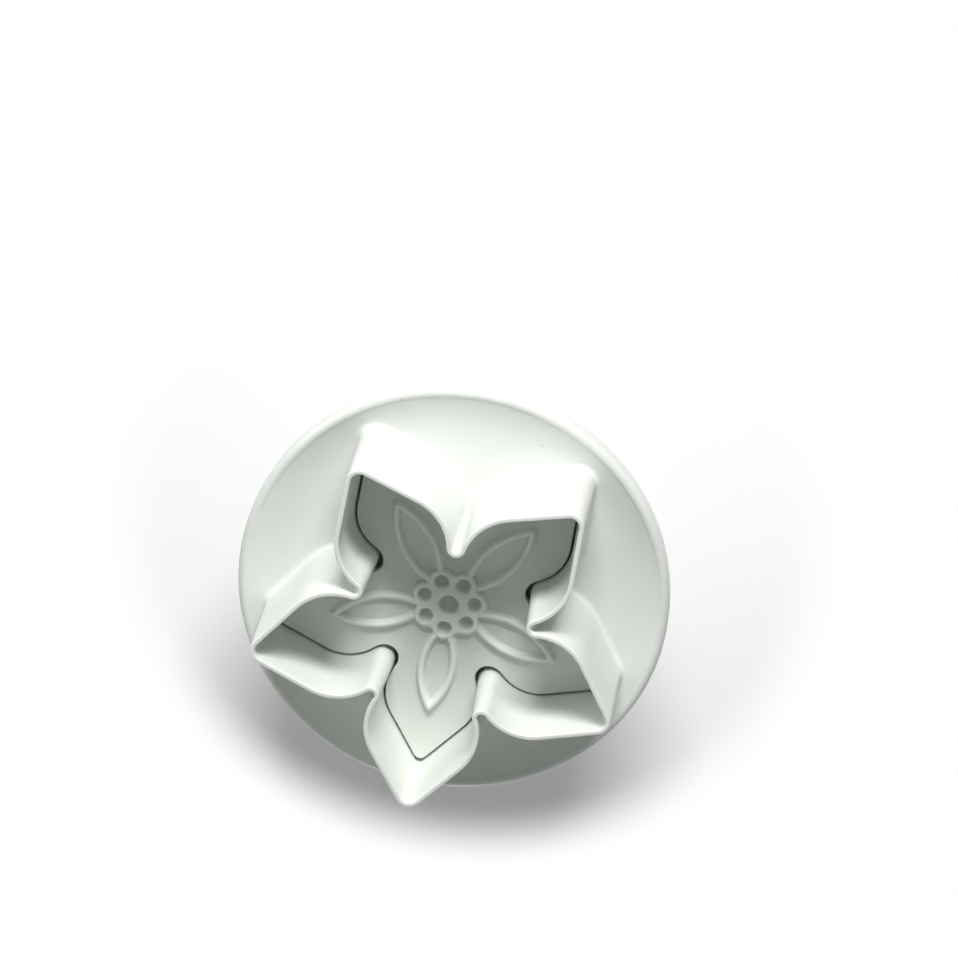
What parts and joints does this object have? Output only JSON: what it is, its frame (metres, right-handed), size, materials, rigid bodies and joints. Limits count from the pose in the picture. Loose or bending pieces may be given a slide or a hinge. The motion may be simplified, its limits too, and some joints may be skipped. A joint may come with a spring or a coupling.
{
  "type": "plunger cutter",
  "caption": "Flower-shaped pastry plunger cutter: thin petal wall on a round dished flange, with a veined embossing plate pushed out by a sprung knob.",
  "frame": {"origin": "on the plunger's axis, in the plane of the knob's flat top, on which the cutter stands mouth up", "axes": "+Z along the plunger's axis, out of the mouth; +Y along one petal"},
  "size_m": [0.07, 0.07, 0.0453],
  "materials": {
    "white_body": "satin moulded",
    "white_plate": "satin moulded",
    "white_stem": "satin moulded",
    "white_knob": "satin moulded",
    "spring_steel": "drawn wire"
  },
  "bodies": {
    "housing": {"cutter_body": "white_body", "return_spring": "spring_steel"},
    "plunger": {"embossing_plate": "white_plate", "plunger_stem": "white_stem", "push_knob": "white_knob"}
  },
  "joints": [
    {"name": "plunger_slide", "type": "slide", "parent": "housing", "child": "plunger", "axis": [0, 0, 1], "range_m": [0, 0.013], "stiffness_N_per_m": 400, "springref_m": -0.008, "deforming": ["return_spring"]}
  ]
}
